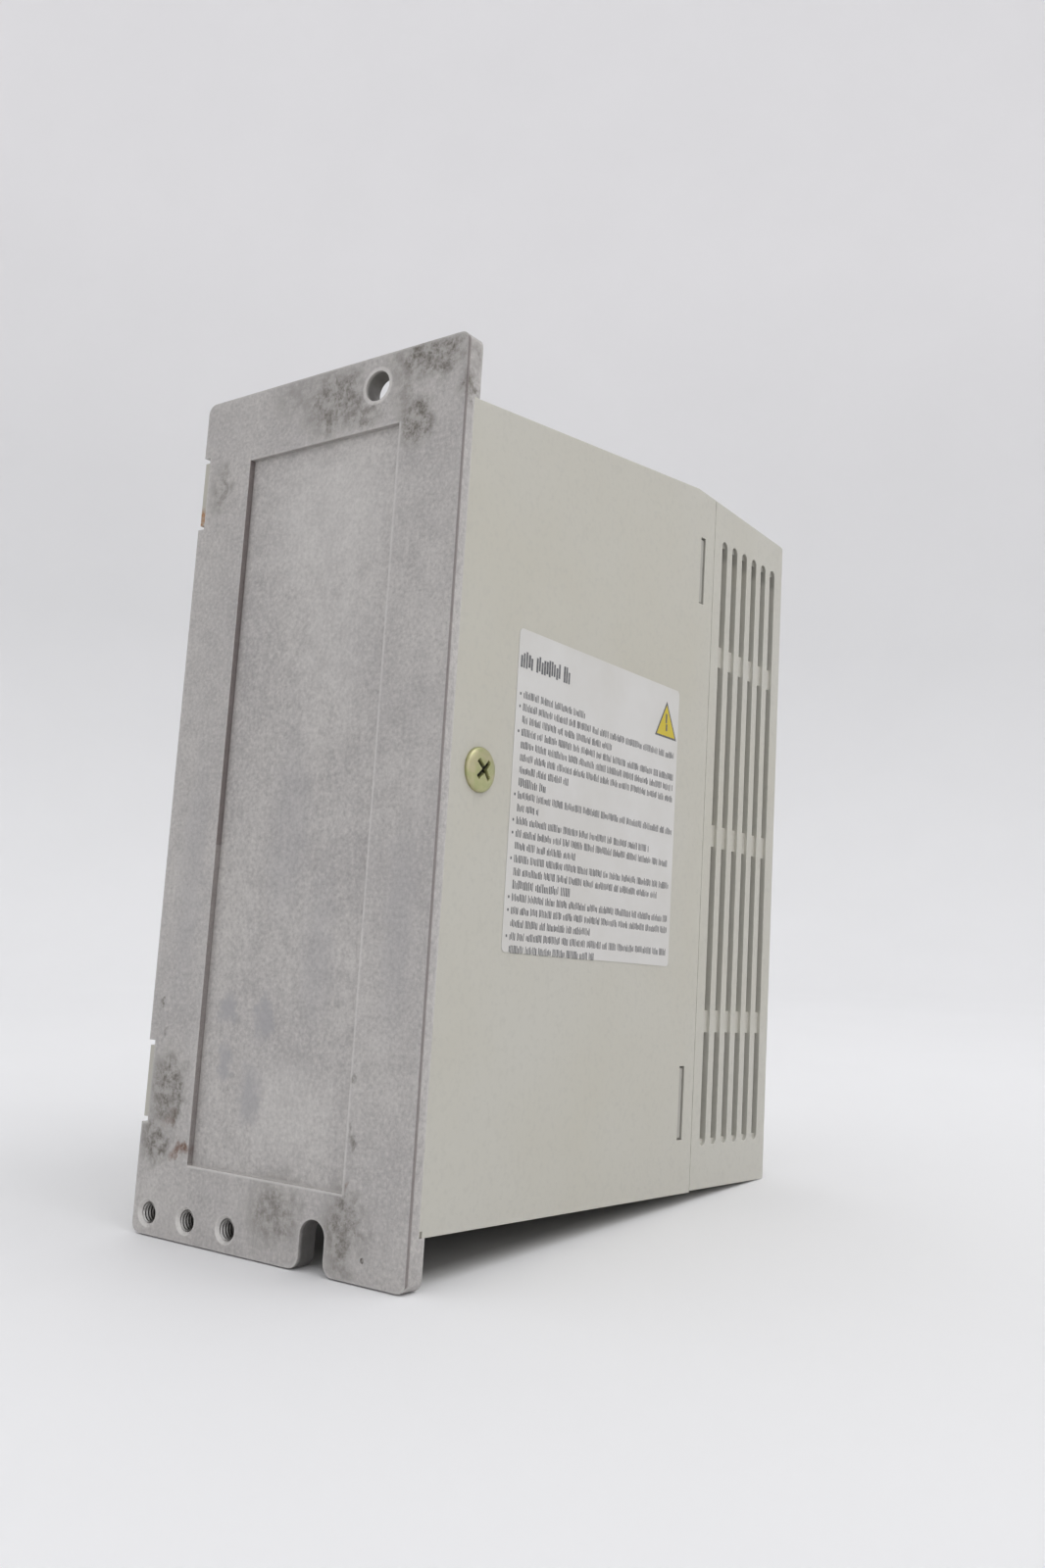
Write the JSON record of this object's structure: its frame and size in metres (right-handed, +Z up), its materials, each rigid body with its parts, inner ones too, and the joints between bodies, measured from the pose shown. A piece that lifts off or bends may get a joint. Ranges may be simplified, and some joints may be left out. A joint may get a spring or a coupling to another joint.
{
  "type": "servo drive",
  "caption": "Book-format servo drive: a die-cast mounting plate with fins, a plastic case, a vented front cover, hinged doors, push buttons and sockets.",
  "frame": {"origin": "bottom centre of the mounting face, where the plate meets the cabinet's back panel", "axes": "+X across the width, +Y from the front towards the panel it is mounted on, +Z up"},
  "size_m": [0.0715, 0.135, 0.168],
  "materials": {
    "cast_aluminium": "as-cast, stained",
    "case_plastic": "fine spark-eroded texture",
    "door_plastic": "fine spark-eroded texture",
    "passivated_steel": "yellow zinc passivated",
    "label_film": "satin film, printed",
    "rating_film": "metallised film, printed",
    "smoked_window": "smoked, clear",
    "display_black": "moulded",
    "button_plastic": "moulded",
    "switch_plastic": "moulded",
    "lamp_red": "clear epoxy",
    "connector_shell": "moulded, plated shield",
    "terminal_plastic": "moulded",
    "plated_steel": "nickel plated",
    "tinned_copper": "tinned",
    "header_green": "moulded",
    "header_white": "moulded",
    "board_green": "solder mask on glass epoxy",
    "component_black": "moulded epoxy",
    "pad_silicone": "silicone pad",
    "capacitor_sleeve": "shrink sleeve",
    "relay_plastic": "moulded",
    "transformer_core": "ferrite and tape",
    "copper_winding": "enamelled wire on a ferrite ring",
    "cement_body": "cast cement",
    "brass_hex": "turned",
    "sheet_film": "polyester film",
    "ribbon_grey": "moulded flat cable"
  },
  "bodies": {
    "housing": {"heatsink": "cast_aluminium", "rear_case": "case_plastic", "front_cover": "case_plastic", "case_screw": "passivated_steel", "side_label": "label_film", "rating_label": "rating_film", "display_lens": "smoked_window", "display_module": "display_black", "tact_switches": "switch_plastic", "charge_lamp": "lamp_red", "io_connector_a": "connector_shell", "io_connector_b": "connector_shell", "encoder_connector": "connector_shell", "serial_connector": "connector_shell", "main_terminal_block": "terminal_plastic", "terminal_screws": "plated_steel", "terminal_clamps": "tinned_copper", "control_supply_header": "header_green", "battery_connector": "header_white", "control_board": "board_green", "processor_chips": "component_black", "power_board": "board_green", "power_module": "component_black", "bridge_rectifier": "component_black", "thermal_pads": "pad_silicone", "module_screws": "plated_steel", "smoothing_capacitors": "capacitor_sleeve", "inrush_relay": "relay_plastic", "switching_transformer": "transformer_core", "line_choke": "copper_winding", "current_sensors": "component_black", "brake_resistor": "cement_body", "line_fuse": "plated_steel", "board_spacers": "brass_hex", "board_pillars": "brass_hex", "board_screws": "plated_steel", "bus_bars": "tinned_copper", "insulation_sheet": "sheet_film", "ribbon_cable": "ribbon_grey", "ribbon_headers": "component_black"},
    "display_door": {"display_door": "door_plastic"},
    "terminal_cover": {"terminal_cover": "door_plastic"},
    "mode_button": {"mode_button": "button_plastic"},
    "up_button": {"up_button": "button_plastic"},
    "down_button": {"down_button": "button_plastic"},
    "set_button": {"set_button": "button_plastic"}
  },
  "joints": [
    {"name": "display_door_hinge", "type": "hinge", "parent": "housing", "child": "display_door", "pos_m": [0, -0.13265, 0.1592], "axis": [-1, 0, 0], "range_deg": [0, 110]},
    {"name": "terminal_cover_hinge", "type": "hinge", "parent": "housing", "child": "terminal_cover", "pos_m": [-0.0273, -0.13265, 0.0317], "axis": [0, 0, -1], "range_deg": [0, 110]},
    {"name": "mode_button_press", "type": "slide", "parent": "housing", "child": "mode_button", "axis": [0, 1, 0], "range_m": [0, 0.0005], "stiffness_N_per_m": 2600, "springref_m": -0.0001},
    {"name": "up_button_press", "type": "slide", "parent": "housing", "child": "up_button", "axis": [0, 1, 0], "range_m": [0, 0.0005], "stiffness_N_per_m": 2600, "springref_m": -0.0001},
    {"name": "down_button_press", "type": "slide", "parent": "housing", "child": "down_button", "axis": [0, 1, 0], "range_m": [0, 0.0005], "stiffness_N_per_m": 2600, "springref_m": -0.0001},
    {"name": "set_button_press", "type": "slide", "parent": "housing", "child": "set_button", "axis": [0, 1, 0], "range_m": [0, 0.0005], "stiffness_N_per_m": 2600, "springref_m": -0.0001}
  ]
}
